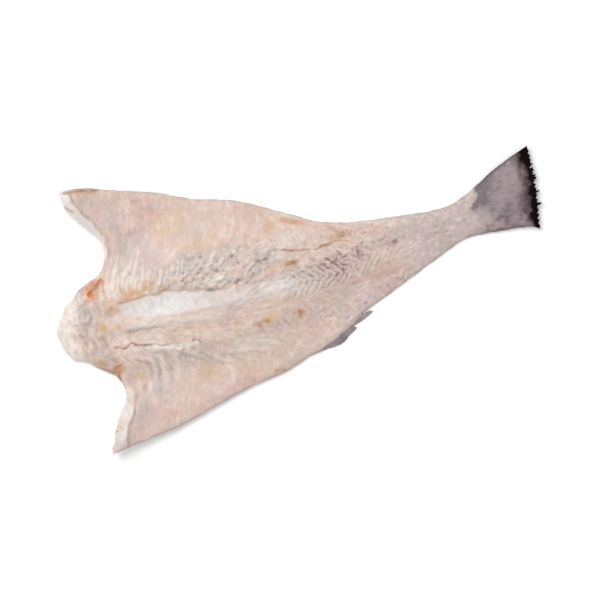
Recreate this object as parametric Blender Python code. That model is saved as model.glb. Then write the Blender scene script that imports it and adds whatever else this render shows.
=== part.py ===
"""Split, salted and dried cod: one solid, lying open on its skin with the cut flesh up.

Row frame: X along the fish, nape at -X and tail fin at +X; Y across it; Z up. The origin is at
the centre of the bounding box's base, on the flat of the skin that the fish rests on.

Inside this file a place on the fish is (s, w), in millimetres: s is the distance from the front
of the nape towards the tail, and w the distance to the left of the backbone line.
"""

import math
import random

import bpy
import numpy as np
from mathutils import Vector
from mathutils.geometry import delaunay_2d_cdt
from mathutils.kdtree import KDTree

MM = 0.001
SEED = 7

# Driving dimensions, in millimetres
LENGTH = 610.0
MOST_THICK = 25.0  # thickest place of the loins
FLAP_THICK = 6.5  # belly flaps, away from their edges
FLAP_SHARE = 0.8  # flaps are never thicker than this share of the back beside them
ANAL_FIN_THICK = 1.8

OUTLINE_STEP = 6.0
FLESH_STEP = 6.5  # spacing of the points on the cut side
SKIN_STEP = 11.0  # spacing of the points on the skin side
EDGE_PARTS = 6  # distances are measured to this many places along each piece of the outline
EDGE_CLEAR = 0.62  # inner points keep this share of a step from the outline and from the ring
RING_INSET = 4.5  # a ring of points runs this far inside the outline
RING_CLEAR = 0.92  # a ring point nearer the outline than this share of the inset is left out

# Outline, as smooth curves through these places (s, w), corner to corner
LEFT_COLLAR_TIP = (53.0, 171.0)
LEFT_TAIL_TIP = (608.0, 61.0)
RIGHT_TAIL_TIP = (594.0, -41.0)
RIGHT_COLLAR_TIP = (24.0, -150.0)
ANAL_FIN_REAR = (360.0, -75.0)
ANAL_FIN_FRONT = (284.0, -106.0)

LEFT_SIDE = [
    LEFT_COLLAR_TIP, (82, 167), (122, 152), (162, 138), (202, 118), (252, 100),
    (302, 71), (342, 47), (382, 34), (432, 26), (487, 19), (522, 27), (562, 46), LEFT_TAIL_TIP,
]
RIGHT_TAIL_SIDE = [
    RIGHT_TAIL_TIP, (585, -34), (545, -28), (507, -25), (470, -36), (420, -54), ANAL_FIN_REAR,
]
ANAL_FIN_EDGES = [
    [ANAL_FIN_REAR, (370, -73)],
    [(370, -73), (374, -76), (360, -82), (345, -86)],
    [(345, -86), (349, -89), (337, -96), (326, -102), (305, -104), ANAL_FIN_FRONT],
]
RIGHT_BELLY_SIDE = [
    ANAL_FIN_FRONT, (252, -115), (202, -121), (152, -132), (102, -142), (70, -145), RIGHT_COLLAR_TIP,
]
FRONT = [
    RIGHT_COLLAR_TIP, (29, -129), (42, -111), (55, -95), (60, -78), (53, -60), (30, -41), (9, -25),
    (2, -2), (3, 15), (18, 38), (46, 54), (70, 63), (82, 80), (83, 100), (70, 121), (55, 146),
    LEFT_COLLAR_TIP,
]

# Ragged rear edge of the tail fin
TAIL_RAYS = 17
TAIL_END_BULGE = 3.0  # how far the edge curves out between its two tips
TAIL_NOTCHES = (1.5, 5.0)  # shallowest and deepest notch between two rays

# Thickness along the backbone line: (s, share of MOST_THICK)
BACK_THICKNESS = [
    (0, 0.62), (25, 0.76), (60, 0.82), (120, 0.90), (200, 1.0), (280, 0.98), (340, 0.84),
    (400, 0.64), (450, 0.46), (490, 0.33), (520, 0.20), (545, 0.11), (LENGTH, 0.09),
]
# How far the thick loins reach to each side of the backbone line: (s, mm)
LOIN_REACH = [(0, 62), (60, 58), (150, 66), (250, 60), (330, 44), (420, 30), (500, 20), (LENGTH, 26)]
LOIN_SHOULDER = 3.2  # higher makes the loins squarer across

# Bed that the removed backbone leaves, between its two lips: (s, w)
BED_LEFT = [(30, 22), (90, 21), (150, 20), (200, 12), (250, 3), (300, -4)]
BED_RIGHT = [(30, -22), (90, -31), (140, -46), (200, -50), (250, -50), (300, -46)]
BED_RIDGE = [(30, 0), (100, -7), (200, -14), (300, -18)]
BED_DEPTH, BED_LIP = 3.2, 7.0
RIDGE_RISE, RIDGE_HALF_WIDTH = 2.4, 6.5
BED_START, BED_END, BED_FADE = 35.0, 265.0, 45.0

# Collars: the thick bony rims at the front of the two belly flaps
COLLAR_RISE, COLLAR_WIDTH = 7.0, 22.0
COLLAR_FROM_W, COLLAR_OVER_W = 70.0, 30.0

# What the fish's edges are like: (width of the slope, height of the wall at the outline)
EDGES = {"side": (9.0, 1.8), "front": (14.0, 2.4), "fin": (2.0, 1.0)}

# The anal fin's root, measured from the line between the fin's front and rear ends
ROOT_FADE = 8.0  # the fin thickens into the body over this length at each end
ROOT_PAST_REAR = 20.0  # the fin's free tip reaches this far past its rear end
ROOT_INSIDE, ROOT_OVER = 1.5, 5.0

# How far the skin lifts off the table
FLAP_LIFT, FLAP_LIFT_FROM, FLAP_LIFT_OVER = 7.0, 70.0, 80.0
LIFT_END_S, LIFT_OVER_S = 420.0, 260.0  # the flaps lie flat behind LIFT_END_S
TIP_LIFT, TIP_LIFT_OVER, TIP_FROM_W, TIP_OVER_W = 9.0, 130.0, 80.0, 80.0
TAIL_LIFT, TAIL_LIFT_FROM = 6.0, 470.0


def ramp(value):
    """0 below 0, 1 above 1 and smooth in between."""
    t = np.clip(value, 0.0, 1.0)
    return t * t * (3.0 - 2.0 * t)


def along(s, stations):
    """Smooth curve of one variable through (s, value) stations."""
    knots = np.array(stations, float)
    slopes = np.gradient(knots[:, 1], knots[:, 0])
    s = np.clip(s, knots[0, 0], knots[-1, 0])
    i = np.clip(np.searchsorted(knots[:, 0], s) - 1, 0, len(knots) - 2)
    span = knots[i + 1, 0] - knots[i, 0]
    t = (s - knots[i, 0]) / span
    start, end = knots[i, 1], knots[i + 1, 1]
    return (
        start * (1 + 2 * t) * (1 - t) ** 2
        + end * t * t * (3 - 2 * t)
        + span * t * (1 - t) * (slopes[i] * (1 - t) - slopes[i + 1] * t)
    )


def curve_through(places, step):
    """Points about a step apart on a smooth curve through the places, without the last one."""
    p = [Vector(a) for a in places]
    p = [2 * p[0] - p[1], *p, 2 * p[-1] - p[-2]]
    found = []
    for a, b, c, d in zip(p, p[1:], p[2:], p[3:]):
        parts = max(1, round((c - b).length / step))
        for k in range(parts):
            t = k / parts
            found.append(
                0.5 * (2 * b + (c - a) * t + (2 * a - 5 * b + 4 * c - d) * t**2
                       + (3 * b - a - 3 * c + d) * t**3)
            )
    return found


def tail_end():
    """The frayed rear edge of the tail fin, with a tip at each ray and a notch between two."""
    rng = random.Random(SEED)
    start, end = Vector(LEFT_TAIL_TIP), Vector(RIGHT_TAIL_TIP)
    found = [start]
    for ray in range(1, 2 * TAIL_RAYS):
        t = ray / (2 * TAIL_RAYS)
        place = start.lerp(end, t + rng.uniform(-0.2, 0.2) / TAIL_RAYS)
        place.x += TAIL_END_BULGE * math.sin(math.pi * t)
        if ray % 2:
            place.x -= rng.uniform(*TAIL_NOTCHES) * math.sin(math.pi * t) ** 0.3
        found.append(place)
    return found


def outline():
    """The fish's closed outline from above, clockwise, and the kind of edge after each point."""
    stretches = [
        (curve_through(LEFT_SIDE, OUTLINE_STEP), "side"),
        (tail_end(), "fin"),
        (curve_through(RIGHT_TAIL_SIDE, OUTLINE_STEP), "side"),
        *((curve_through(edge, OUTLINE_STEP), "fin") for edge in ANAL_FIN_EDGES),
        (curve_through(RIGHT_BELLY_SIDE, OUTLINE_STEP), "side"),
        (curve_through(FRONT, OUTLINE_STEP), "front"),
    ]
    points = [p for stretch, _ in stretches for p in stretch]
    kinds = [kind for stretch, kind in stretches for _ in stretch]
    return np.array(points, float), np.array(kinds)


def nearest(points, places):
    """Distance from each point to the nearest of the places."""
    tree = KDTree(len(places))
    for i, p in enumerate(places):
        tree.insert((p[0], p[1], 0.0), i)
    tree.balance()
    return np.array([tree.find((p[0], p[1], 0.0))[2] for p in points])


def to_edges(points, loop, kinds):
    """Distance from each point to the nearest edge of each kind."""
    shares = np.arange(EDGE_PARTS + 1)[:, None, None] / EDGE_PARTS
    dense = loop + (np.roll(loop, -1, axis=0) - loop) * shares
    return {kind: nearest(points, dense[:, kinds == kind].reshape(-1, 2)) for kind in EDGES}


def skin_height(s, w):
    """Height of the skin above the table: flat under the loins, lifting at flaps, tips and tail."""
    far = np.abs(w)
    forward = ramp((LIFT_END_S - s) / LIFT_OVER_S)
    flaps = FLAP_LIFT * forward * np.clip((far - FLAP_LIFT_FROM) / FLAP_LIFT_OVER, 0, 1.2) ** 2
    tips = TIP_LIFT * ramp(1 - s / TIP_LIFT_OVER) * ramp((far - TIP_FROM_W) / TIP_OVER_W)
    tail = TAIL_LIFT * np.clip((s - TAIL_LIFT_FROM) / (LENGTH - TAIL_LIFT_FROM), 0, 1) ** 2
    return flaps + tips + tail


def bed_relief(s, w):
    """The bed of the removed backbone, with the low ridge along its middle."""
    inside = ramp((along(s, BED_LEFT) - w) / BED_LIP) * ramp((w - along(s, BED_RIGHT)) / BED_LIP)
    ridge = np.exp(-(((w - along(s, BED_RIDGE)) / RIDGE_HALF_WIDTH) ** 2))
    shown = ramp((s - BED_START) / BED_FADE) * ramp((BED_END + BED_FADE - s) / BED_FADE)
    return shown * inside * (RIDGE_RISE * ridge - BED_DEPTH)


def full_thickness(s, w):
    """Thickness of the fish away from its edges."""
    back = MOST_THICK * along(s, BACK_THICKNESS)
    flap = np.minimum(FLAP_THICK, FLAP_SHARE * back)
    loin = 1.0 / (1.0 + (np.abs(w) / along(s, LOIN_REACH)) ** (2 * LOIN_SHOULDER))
    return flap + (back - flap) * loin + bed_relief(s, w)


def thickness(s, w, distances):
    """Thickness with the collar rims and the slopes down to the wall at the outline."""
    rim = ramp(1 - np.abs(distances["front"] - EDGES["front"][0]) / COLLAR_WIDTH)
    on_collar = ramp((np.abs(w) - COLLAR_FROM_W) / COLLAR_OVER_W)
    fin = anal_fin_share(s, w)
    full = full_thickness(s, w) + COLLAR_RISE * rim * on_collar
    full = full * (1 - fin) + ANAL_FIN_THICK * fin
    found = full
    for kind, (slope, wall) in EDGES.items():
        rise = np.sin(np.clip(distances[kind] / slope, 0, 1) * math.pi / 2)
        found = np.minimum(found, wall + (full - wall) * rise)
    return found


def anal_fin_share(s, w):
    """1 on the anal fin, 0 on the body, changing over a few millimetres at the fin's root."""
    front, rear = np.array(ANAL_FIN_FRONT), np.array(ANAL_FIN_REAR)
    length = np.linalg.norm(rear - front)
    root = (rear - front) / length
    along_root = (s - front[0]) * root[0] + (w - front[1]) * root[1]
    outside = (s - front[0]) * root[1] - (w - front[1]) * root[0]
    at_front = ramp(along_root / ROOT_FADE + 1)
    at_rear = ramp((length + ROOT_PAST_REAR - along_root) / ROOT_FADE)
    return at_front * at_rear * ramp((outside + ROOT_INSIDE) / ROOT_OVER)


def ring_inside(loop, kinds):
    """Points a fixed distance inside the outline, left out where a corner is too narrow for them."""
    heading = np.roll(loop, -1, axis=0) - np.roll(loop, 1, axis=0)
    heading /= np.linalg.norm(heading, axis=1)[:, None]
    ring = loop + RING_INSET * np.column_stack([heading[:, 1], -heading[:, 0]])
    distance = np.min(list(to_edges(ring, loop, kinds).values()), axis=0)
    return ring[is_inside(ring, loop) & (distance > RING_CLEAR * RING_INSET)]


def inner_points(loop, kinds, step):
    """The ring, and points on a triangular grid that are clear of it and of the outline."""
    lowest, highest = loop.min(axis=0), loop.max(axis=0)
    row_gap = step * math.sqrt(3) / 2
    grid = [
        (s + (row % 2) * step / 2, w)
        for row, w in enumerate(np.arange(lowest[1], highest[1], row_gap))
        for s in np.arange(lowest[0], highest[0], step)
    ]
    grid = np.array(grid)
    ring = ring_inside(loop, kinds)
    clear = nearest(grid, np.vstack([loop, ring])) > EDGE_CLEAR * step
    deep = np.min(list(to_edges(grid, loop, kinds).values()), axis=0) > EDGE_CLEAR * step
    return np.vstack([ring, grid[is_inside(grid, loop) & clear & deep]])


def is_inside(points, loop):
    """Whether each point lies inside the closed outline, by counting crossings."""
    inside = np.zeros(len(points), bool)
    for a, b in zip(loop, np.roll(loop, -1, axis=0)):
        spans = (a[1] > points[:, 1]) != (b[1] > points[:, 1])
        rise = b[1] - a[1] if b[1] != a[1] else 1.0
        crossing = a[0] + (points[:, 1] - a[1]) * (b[0] - a[0]) / rise
        inside ^= spans & (points[:, 0] < crossing)
    return inside


def sheet(loop, kinds, step):
    """A flat triangle mesh inside the outline. Its first vertices are the outline's, in order."""
    count = len(loop)
    flat = np.vstack([loop, inner_points(loop, kinds, step)])
    ring = [(i, (i + 1) % count) for i in range(count)]
    inside_constraints = 1
    found = delaunay_2d_cdt([Vector(p) for p in flat], ring, [], inside_constraints, 1e-5)
    places = np.array([v[:] for v in found[0]])
    return places, [tuple(face) for face in found[2]]


def upward(face, places):
    """The face with its corners anticlockwise, seen from above."""
    a, b, c = (places[i] for i in face)
    turn = (b[0] - a[0]) * (c[1] - a[1]) - (b[1] - a[1]) * (c[0] - a[0])
    return face if turn > 0 else face[::-1]


def build_fish():
    """The cut side and the skin side, joined by the wall along their common outline."""
    loop, kinds = outline()
    count = len(loop)
    cut, cut_faces = sheet(loop, kinds, FLESH_STEP)
    skin, skin_faces = sheet(loop, kinds, SKIN_STEP)
    top = skin_height(*cut.T) + thickness(*cut.T, to_edges(cut, loop, kinds))
    base = skin_height(*skin.T)

    faces = [upward(f, cut) for f in cut_faces]
    faces += [tuple(i + len(cut) for i in upward(f, skin)[::-1]) for f in skin_faces]
    for i in range(count):
        j = (i + 1) % count
        faces.append((i, j, j + len(cut), i + len(cut)))

    points = np.vstack([np.column_stack([cut, top]), np.column_stack([skin, base])])
    points[:, :2] -= (loop.min(axis=0) + loop.max(axis=0)) / 2
    mesh = bpy.data.meshes.new("split_cod")
    mesh.from_pydata((points * MM).tolist(), [], faces)
    mesh.validate()
    mesh.shade_smooth()
    mesh.set_sharp_from_angle(angle=math.radians(50))
    return mesh


def flesh_material():
    """Pale, dried, salted flesh: cream with a little pink, dull and rough."""
    material = bpy.data.materials.new("salted_flesh")
    material.use_nodes = True
    shader = material.node_tree.nodes["Principled BSDF"]
    shader.inputs["Base Color"].default_value = (0.66, 0.52, 0.45, 1.0)
    shader.inputs["Roughness"].default_value = 0.62
    shader.inputs["Metallic"].default_value = 0.0
    return material


def main():
    for obj in list(bpy.data.objects):
        bpy.data.objects.remove(obj)
    mesh = build_fish()
    mesh.materials.append(flesh_material())
    fish = bpy.data.objects.new("split_cod", mesh)
    bpy.context.scene.collection.objects.link(fish)


main()
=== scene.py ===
"""Looks of the split, salted and dried cod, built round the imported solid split_cod.

One fine closed mesh stands for the solid. It takes its outline and its two surfaces from the
solid and adds the relief of the cut flesh. Torn strands and salt grains lie on it, and dry tips
of fin rays stick out of its tail.

A place on the fish is (s, w), in millimetres: s from the front of the nape towards the tail, and w
to the left of the backbone line. The work is done on a grid of such places, so a relief or a
stain is an array with one value for each place of the grid.
"""

import math
import random

import bpy
import numpy as np
from mathutils import Euler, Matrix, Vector
from mathutils.bvhtree import BVHTree
from mathutils.geometry import delaunay_2d_cdt
from mathutils.kdtree import KDTree

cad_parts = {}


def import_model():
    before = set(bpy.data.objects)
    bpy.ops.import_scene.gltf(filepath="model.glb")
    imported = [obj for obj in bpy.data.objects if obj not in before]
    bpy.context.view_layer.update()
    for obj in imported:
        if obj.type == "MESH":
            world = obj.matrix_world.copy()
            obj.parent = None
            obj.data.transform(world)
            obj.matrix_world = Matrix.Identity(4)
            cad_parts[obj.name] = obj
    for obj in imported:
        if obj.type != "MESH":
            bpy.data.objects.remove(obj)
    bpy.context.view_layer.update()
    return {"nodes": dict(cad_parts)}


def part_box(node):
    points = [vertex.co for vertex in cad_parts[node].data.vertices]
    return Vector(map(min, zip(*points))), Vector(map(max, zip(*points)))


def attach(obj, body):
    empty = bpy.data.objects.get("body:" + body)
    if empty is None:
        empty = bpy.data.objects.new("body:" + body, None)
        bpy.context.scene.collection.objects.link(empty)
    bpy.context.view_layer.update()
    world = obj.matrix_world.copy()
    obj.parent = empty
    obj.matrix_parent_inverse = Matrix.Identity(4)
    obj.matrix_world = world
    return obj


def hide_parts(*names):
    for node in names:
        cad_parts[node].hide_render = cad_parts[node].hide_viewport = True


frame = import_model()

MM = 0.001
NODE = "split_cod"
LOW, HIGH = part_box(NODE)
LENGTH = (HIGH.x - LOW.x) / MM
WIDTH = (HIGH.y - LOW.y) / MM
HEIGHT = (HIGH.z - LOW.z) / MM
RIGHT_REACH = WIDTH * 150 / 321  # the backbone line runs this far inside the box's right side

PITCH = 0.75  # between two places of the grid
MARGIN = 12.0  # the grid reaches this far past the box
FLESH_STEP = 1.2  # between the mesh's points on the cut side
SKIN_STEP = 3.2  # and on the skin side
EDGE_STEP = 1.3  # and along the outline
FAR = 1e3

S, W = np.meshgrid(
    np.arange(-MARGIN, LENGTH + MARGIN, PITCH),
    np.arange(-RIGHT_REACH - MARGIN, WIDTH - RIGHT_REACH + MARGIN, PITCH),
)


# ---------------------------------------------------------------- colours

def srgb(red, green, blue):
    """Linear colour of an sRGB one given from 0 to 255."""
    shares = [v / 255 for v in (red, green, blue)]
    return tuple(v / 12.92 if v <= 0.04045 else ((v + 0.055) / 1.055) ** 2.4 for v in shares)


FLESH = srgb(219, 195, 183)

# Paints of the cut side, laid over the flesh in this order; some carry painted shade and painted highlight
PAINTS = {
    "grey": srgb(193, 182, 177),
    "lilac": srgb(203, 185, 185),
    "pink": srgb(211, 173, 165),
    "yellow": srgb(221, 190, 155),
    # Pale flesh, also painted as highlight on ridges, fold tops and lump tops
    "pale": srgb(240, 230, 221),
    "white": srgb(232, 229, 227),
    "tan": srgb(204, 160, 120),
    # Colour of painted shade in hollows, grooves, folds and pits, and of real dark specks
    "shade": srgb(150, 128, 121),
    "orange": srgb(208, 120, 48),
    "brown": srgb(122, 80, 58),
    "rind": srgb(140, 126, 118),
    "fin": srgb(161, 145, 150),
    # Darker fin colour, also painted shade on the upper tail fin behind the flesh
    "dusk": srgb(128, 117, 121),
    "rust": srgb(104, 76, 73),
    "black": srgb(25, 15, 15),
}
SKIN_BACK = srgb(112, 104, 92)
SKIN_MOTTLE = srgb(74, 66, 56)
SKIN_BELLY = srgb(196, 186, 176)
SALT = srgb(244, 242, 240)
FIN_TIPS = srgb(30, 20, 20)


# ---------------------------------------------------------------- fields on the grid

def ramp(value):
    """0 below 0, 1 above 1 and smooth in between."""
    t = np.clip(value, 0.0, 1.0)
    return t * t * (3.0 - 2.0 * t)


def hump(value, width):
    """1 where the value is 0, fading away over this width to both sides."""
    return np.exp(-((value / width) ** 2))


def filtered(field, along, across, turn=0.0):
    """The field, blurred by a Gaussian with these spreads in mm, its long side turned by degrees."""
    rows, columns = field.shape
    fs = np.fft.rfftfreq(columns, PITCH)[None, :]
    fw = np.fft.fftfreq(rows, PITCH)[:, None]
    cos, sin = math.cos(math.radians(turn)), math.sin(math.radians(turn))
    reach = ((fs * cos + fw * sin) * along) ** 2 + ((fw * cos - fs * sin) * across) ** 2
    return np.fft.irfft2(np.fft.rfft2(field) * np.exp(-2 * math.pi**2 * reach), s=field.shape)


def noise(seed, along, across=None, turn=0.0):
    """Smooth noise with mean 0 and spread 1. Its grain is about 3 times these spreads in mm."""
    white = np.random.default_rng(seed).standard_normal(S.shape)
    field = filtered(white, along, along if across is None else across, turn)
    return (field - field.mean()) / field.std()


def rough(seed, grain, octaves=3):
    """Noise of several sizes, from the grain down."""
    found = sum(noise(seed + k, grain / 2**k) * 0.55**k for k in range(octaves))
    return found / found.std()


def look(field, s, w):
    """The field's values at these places, by bilinear interpolation."""
    rows, columns = field.shape
    x = np.clip((s - S[0, 0]) / PITCH, 0, columns - 1.001)
    y = np.clip((w - W[0, 0]) / PITCH, 0, rows - 1.001)
    i, j = y.astype(int), x.astype(int)
    x, y = x - j, y - i
    upper = field[i, j] * (1 - x) + field[i, j + 1] * x
    lower = field[i + 1, j] * (1 - x) + field[i + 1, j + 1] * x
    return upper * (1 - y) + lower * y


def streaks(seed, angle, length, grain):
    """Noise drawn out along the fibres, whose angle in radians is given at each place."""
    field = noise(seed, grain)
    cos, sin = np.cos(angle), np.sin(angle)
    total = field.copy()
    for sense in (1, -1):
        s, w = S.copy(), W.copy()
        last_cos, last_sin = cos * sense, sin * sense
        for _ in range(round(length / 2)):
            s, w = s + last_cos, w + last_sin
            turn_cos, turn_sin = look(cos, s, w), look(sin, s, w)
            same = np.where(turn_cos * last_cos + turn_sin * last_sin >= 0, 1.0, -1.0)
            last_cos, last_sin = turn_cos * same, turn_sin * same
            total += look(field, s, w)
    return (total - total.mean()) / total.std()


# How far drawn lines stray from their places, in mm, and the grain of their bends
WANDER, WANDER_GRAIN = 0.7, 2.6
SWAY, SWAY_GRAIN = 1.8, 10
wandering = (S + WANDER * noise(11, WANDER_GRAIN), W + WANDER * noise(12, WANDER_GRAIN))
swaying = (S + SWAY * noise(16, SWAY_GRAIN), W + SWAY * noise(17, SWAY_GRAIN))
stain_edge = rough(13, 3.0)
line_swell = noise(14, 2.2)


def bend(a, b, c, d, step):
    """Points about a step apart on the smooth curve from b to c, without c."""
    count = max(1, round(float(np.linalg.norm((c - b)[:2])) / step))
    t = np.arange(count)[:, None] / count
    swing = (2 * a - 5 * b + 4 * c - d) * t**2 + (3 * b - a - 3 * c + d) * t**3
    return 0.5 * (2 * b + (c - a) * t + swing)


def curve(places, step=1.5):
    """Dense points on the smooth curve through the places, which may have any number of values."""
    p = np.array(places, float)
    p = np.vstack([2 * p[0] - p[1], p, 2 * p[-1] - p[-2]])
    return np.vstack([*(bend(*four, step) for four in zip(p, p[1:], p[2:], p[3:])), p[-2]])


def near_line(places, reach, ground=wandering):
    """Distance to the line, above 0 on its left, and the share of its length passed."""
    line = curve(places)
    s, w = ground
    (s0, w0), (s1, w1) = line.min(axis=0) - reach, line.max(axis=0) + reach
    inside = (s > s0) & (s < s1) & (w > w0) & (w < w1)
    gap, share = np.full(S.shape, FAR), np.zeros(S.shape)
    s, w = s[inside], w[inside]
    best, passed = np.full(s.shape, FAR), np.zeros(s.shape)
    for k, (a, b) in enumerate(zip(line, line[1:])):
        d = b - a
        t = np.clip(((s - a[0]) * d[0] + (w - a[1]) * d[1]) / (d @ d), 0, 1)
        off_s, off_w = s - a[0] - t * d[0], w - a[1] - t * d[1]
        away = np.hypot(off_s, off_w)
        closer = away < np.abs(best)
        side = np.where(d[0] * off_w - d[1] * off_s >= 0, 1.0, -1.0)
        best = np.where(closer, away * side, best)
        passed = np.where(closer, (k + t) / (len(line) - 1), passed)
    gap[inside], share[inside] = best, passed
    return gap, share


def stroke(places, width, taper=0.2, swell=0.35, ground=wandering):
    """A drawn line that swells, thins and ends in points: 1 along its middle, 0 beside it."""
    gap, share = near_line(places, 4 * width, ground)
    ends = ramp(share / taper + 0.15) * ramp((1 - share) / taper + 0.15)
    wide = width * np.clip(1 + swell * line_swell, 0.3, 2) * np.maximum(ends, 0.05)
    return hump(gap, wide) * ends


def strokes(lines, *shape, ground=wandering):
    """The strongest of several drawn lines at each place."""
    return np.max([stroke(places, *shape, ground=ground) for places in lines], axis=0)


def stain(s, w, long, wide, turn=0.0, amount=1.0, ragged=0.22):
    """A soft stain of these half sizes, with an uneven edge."""
    cos, sin = math.cos(math.radians(turn)), math.sin(math.radians(turn))
    u, v = (S - s) * cos + (W - w) * sin, (W - w) * cos - (S - s) * sin
    away = np.sqrt((u / long) ** 2 + (v / wide) ** 2) + ragged * stain_edge
    return amount * ramp((1.3 - away) / 0.9)


def stains(*places):
    """The strongest of several stains at each place."""
    return np.max([stain(*place) for place in places], axis=0)


def station(stations):
    """A value that changes along the fish, through (s, value) stations."""
    places, values = zip(*stations)
    return np.interp(S, places, values)


# ---------------------------------------------------------------- the solid's outline and surfaces

def cad_outline(mesh):
    """The solid's outline as rows (s, w, height of the cut side, height of the skin), in order."""
    points = np.array([v.co for v in mesh.vertices]) / MM
    keys = [tuple(p) for p in np.round(points[:, :2], 2)]
    heights, beside = {}, {}
    for face in mesh.polygons:
        if abs(face.normal.z) > 0.01:
            continue
        corners = {keys[i] for i in face.vertices}
        for i in face.vertices:
            heights.setdefault(keys[i], []).append(points[i, 2])
        if len(corners) == 2:
            a, b = corners
            beside.setdefault(a, set()).add(b)
            beside.setdefault(b, set()).add(a)
    start = min(beside)
    loop, before, here = [start], None, start
    while True:
        ahead = sorted(beside[here] - {before})[0]
        if ahead == start:
            break
        loop.append(ahead)
        before, here = here, ahead
    shift = np.array([LOW.x / MM, LOW.y / MM + RIGHT_REACH])
    return np.array([(*(np.array(p) - shift), max(heights[p]), min(heights[p])) for p in loop])


CORNER = 35.0  # the outline stays sharp where it turns by more than this many degrees


def finer_outline(loop):
    """The outline with points about EDGE_STEP apart, smooth except at its corners."""
    count = len(loop)
    step = np.roll(loop, -1, axis=0) - loop
    heading = np.degrees(np.arctan2(step[:, 1], step[:, 0]))
    sharp = np.abs((heading - np.roll(heading, 1) + 180) % 360 - 180) > CORNER
    found = []
    for k in range(count):
        a, b, c, d = (loop[(k + j) % count] for j in (-1, 0, 1, 2))
        a = 2 * b - c if sharp[k] else a
        d = 2 * c - b if sharp[(k + 1) % count] else d
        found.append(bend(a, b, c, d, EDGE_STEP))
    return np.vstack(found)


def distance_to(places):
    """Distance of each place of the grid to the nearest of these places."""
    tree = KDTree(len(places))
    for i, (s, w) in enumerate(places):
        tree.insert((s, w, 0.0), i)
    tree.balance()
    near = [tree.find((s, w, 0.0))[2] for s, w in zip(S.ravel(), W.ravel())]
    return np.array(near).reshape(S.shape)


FACET_BLUR = 3.0  # evens out the solid's facets
KEEP_EDGE = 5.0  # this near the outline its surfaces are taken as they are


def cad_heights(mesh, to_edge):
    """Heights of the solid's cut side and skin side over the grid, and where the solid is."""
    tree = BVHTree.FromPolygons([v.co for v in mesh.vertices], [p.vertices[:] for p in mesh.polygons])
    found = []
    for start, sense in ((HIGH.z + 1, -1), (LOW.z - 1, 1)):
        hits = [
            tree.ray_cast(Vector((x, y, start)), Vector((0, 0, sense)))[0]
            for x, y in zip(LOW.x + S.ravel() * MM, LOW.y + (W.ravel() + RIGHT_REACH) * MM)
        ]
        found.append(np.array([h.z / MM if h else np.nan for h in hits]).reshape(S.shape))
    inside = ~np.isnan(found[0] + found[1])
    share = filtered(inside.astype(float), FACET_BLUR, FACET_BLUR)
    keep = inside * ramp(1 - to_edge / KEEP_EDGE)
    even = []
    for field in found:
        field = np.where(inside, field, 0.0)
        blurred = filtered(field, FACET_BLUR, FACET_BLUR) / np.maximum(share, 1e-3)
        even.append(field * keep + blurred * (1 - keep))
    return *even, inside


def runs_left(loop):
    """Whether the loop runs anticlockwise, seen from above."""
    return np.sum(loop[:, 0] * np.roll(loop[:, 1], -1) - loop[:, 1] * np.roll(loop[:, 0], -1)) > 0


def outward(loop):
    """The direction that points out of the loop at each of its points."""
    heading = np.roll(loop[:, :2], -1, axis=0) - np.roll(loop[:, :2], 1, axis=0)
    heading /= np.linalg.norm(heading, axis=1)[:, None]
    side = np.column_stack([heading[:, 1], -heading[:, 0]])
    return side if runs_left(loop) else -side


RAGGED = 0.3  # the outline wavers by about this much, always inwards
RAGGED_TO_S = 585.0  # but not at the tail fin's frayed end
NAPE_LUMPS = 1.7  # the nape's lumps stand out by about this much
NAPE_TO_S = 45.0

cad_mesh = frame["nodes"][NODE].data
rim = finer_outline(cad_outline(cad_mesh))
waver = RAGGED * np.clip(1 + look(rough(15, 5.0, 4), *rim[:, :2].T), 0, 2.5) * (rim[:, 0] < RAGGED_TO_S)
waver += NAPE_LUMPS * np.clip(0.8 + look(noise(18, 4.0), *rim[:, :2].T), 0, 2) * (
    ramp((NAPE_TO_S - rim[:, 0]) / 20) * ramp((rim[:, 0] - 1.5) / 4)
)
rim[:, :2] -= outward(rim) * waver[:, None]
rim_places = np.vstack([rim[:, :2], (rim[:, :2] + np.roll(rim[:, :2], -1, axis=0)) / 2])
to_edge = distance_to(rim_places)
cut_height, skin_height, on_fish = cad_heights(cad_mesh, to_edge)
to_edge = np.where(on_fish, to_edge, 0.0)


def front_rim():
    """The cut front edge, from one collar's tip round the nape to the other's."""
    count = len(rim)
    left, right, nape = rim[:, 1].argmax(), rim[:, 1].argmin(), rim[:, 0].argmin()
    ring = np.roll(rim[:, :2], -right, axis=0)
    left, nape = (left - right) % count, (nape - right) % count
    return ring[: left + 1] if nape < left else ring[left:]


# ---------------------------------------------------------------- places on the cut side

to_front = distance_to(front_rim())

# Left lip of the bed that the backbone lay in, and the lower edge of the white band beside it
BED_LIP = [
    (76, 21), (100, 20.5), (120, 20), (140, 20.5), (150, 18), (160, 14), (175, 10), (188, 8), (200, 3),
    (215, 4), (230, 4), (240, 1), (248, -3), (258, 0), (268, 2),
]
LIP_DEPTH = [(72, 0), (84, 0.32), (145, 0.32), (160, 0.2), (230, 0.2), (285, 0)]
BAND_TOP = [(60, 17), (80, 19), (140, 18), (150, 16), (175, 8), (200, 2), (250, -3), (310, -8)]
BAND_BASE = [(60, 6), (90, 3), (110, -4), (150, -10), (200, -18), (250, -25), (310, -34)]
BAND_WHITENESS = [(60, 0), (80, 0.5), (95, 1), (165, 1), (200, 0.45), (235, 0.2), (290, 0.3), (320, 0)]
RIDGE = [(57, -2), (75, -4), (95, -8), (120, -12), (150, -19), (185, -24), (215, -28)]
FISSURE = [(78, -12), (84, -14), (92, -16), (101, -16), (109, -18), (121, -20), (134, -23)]
RIGHT_CRACK = [
    (59, -26), (63, -28), (69, -30), (78, -31), (83, -29), (90, -33), (101, -35), (110, -38),
    (122, -42), (133, -43), (145, -47),
]
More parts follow.
